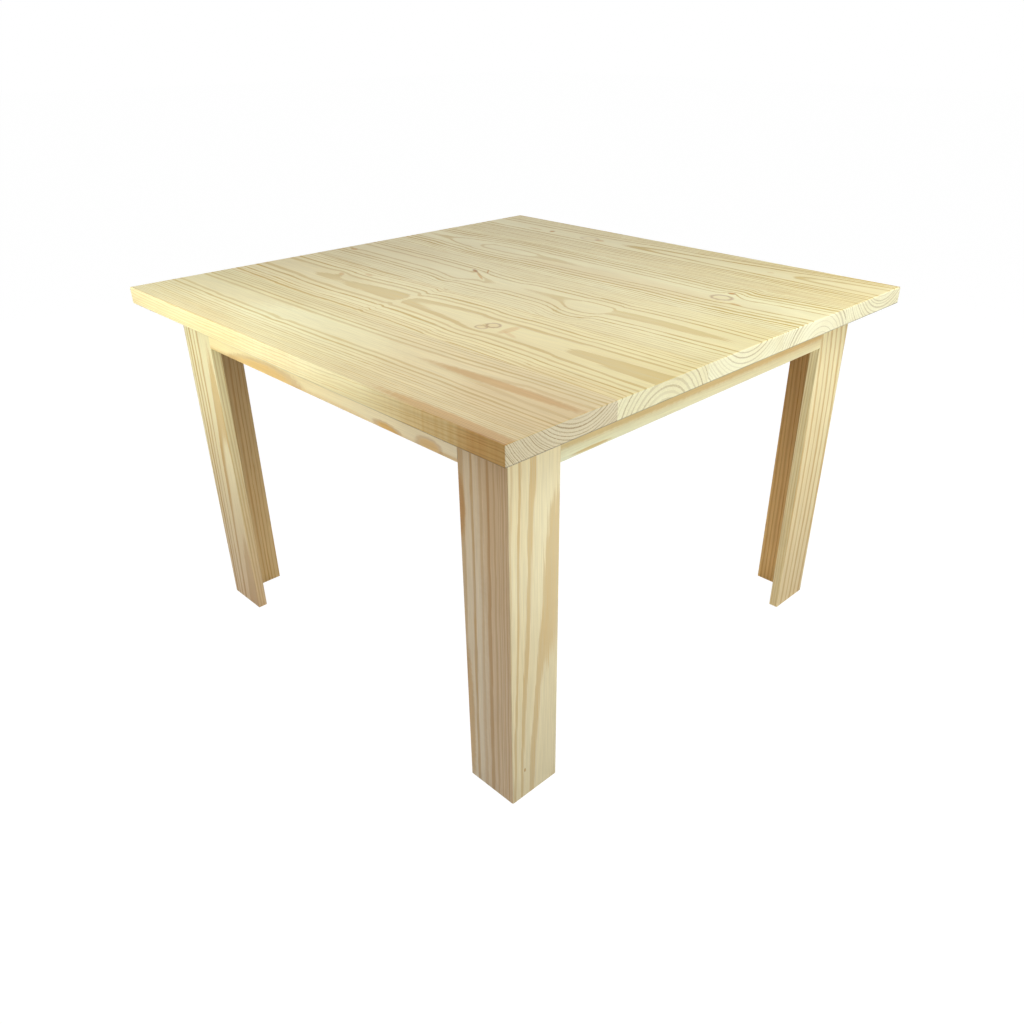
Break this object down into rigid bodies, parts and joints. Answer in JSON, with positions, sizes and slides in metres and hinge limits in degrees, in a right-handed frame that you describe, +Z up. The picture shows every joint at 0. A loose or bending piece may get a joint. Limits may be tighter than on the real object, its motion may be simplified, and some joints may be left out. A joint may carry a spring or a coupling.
{
  "type": "dining table",
  "caption": "Square dining table of glued pine boards, with L-shaped corner legs, flush aprons and bolted diagonal braces under an overhanging flat top.",
  "frame": {"origin": "on the floor, below the middle of the top", "axes": "+X along the grain of the top's boards, towards the end grain that the picture shows; +Y across the boards, away from the long edge that it shows; +Z up"},
  "size_m": [1.1, 1.1, 0.73],
  "materials": {
    "top_board_1": "clear matt varnish on planed pine, grain along X",
    "top_board_2": "clear matt varnish on planed pine, grain along X",
    "top_board_3": "clear matt varnish on planed pine, grain along X",
    "top_board_4": "clear matt varnish on planed pine, grain along X",
    "top_board_5": "clear matt varnish on planed pine, grain along X",
    "leg_front_left_front_board": "clear matt varnish on planed pine, grain upright",
    "leg_front_left_side_board": "clear matt varnish on planed pine, grain upright",
    "leg_front_right_side_board": "clear matt varnish on planed pine, grain upright",
    "leg_front_right_front_board": "clear matt varnish on planed pine, grain upright",
    "leg_back_right_back_board": "clear matt varnish on planed pine, grain upright",
    "leg_back_right_side_board": "clear matt varnish on planed pine, grain upright",
    "leg_back_left_side_board": "clear matt varnish on planed pine, grain upright",
    "leg_back_left_back_board": "clear matt varnish on planed pine, grain upright",
    "apron_front": "clear matt varnish on planed pine, grain lengthwise",
    "apron_right": "clear matt varnish on planed pine, grain lengthwise",
    "apron_back": "clear matt varnish on planed pine, grain lengthwise",
    "apron_left": "clear matt varnish on planed pine, grain lengthwise",
    "bare_pine": "bare sawn pine, out of sight",
    "zinc_plated_steel": "bright zinc plating"
  },
  "bodies": {
    "root": {"top_board_1": "top_board_1", "top_board_2": "top_board_2", "top_board_3": "top_board_3", "top_board_4": "top_board_4", "top_board_5": "top_board_5", "leg_front_left_front_board": "leg_front_left_front_board", "leg_front_left_side_board": "leg_front_left_side_board", "leg_front_right_side_board": "leg_front_right_side_board", "leg_front_right_front_board": "leg_front_right_front_board", "leg_back_right_back_board": "leg_back_right_back_board", "leg_back_right_side_board": "leg_back_right_side_board", "leg_back_left_side_board": "leg_back_left_side_board", "leg_back_left_back_board": "leg_back_left_back_board", "apron_front": "apron_front", "apron_right": "apron_right", "apron_back": "apron_back", "apron_left": "apron_left", "top_cleat_front": "bare_pine", "top_cleat_right": "bare_pine", "top_cleat_back": "bare_pine", "top_cleat_left": "bare_pine", "corner_block_front_left": "bare_pine", "corner_brace_front_left": "bare_pine", "corner_block_front_right": "bare_pine", "corner_brace_front_right": "bare_pine", "corner_block_back_right": "bare_pine", "corner_brace_back_right": "bare_pine", "corner_block_back_left": "bare_pine", "corner_brace_back_left": "bare_pine", "hanger_bolts": "zinc_plated_steel", "washers": "zinc_plated_steel", "wing_nuts": "zinc_plated_steel"}
  },
  "joints": []
}
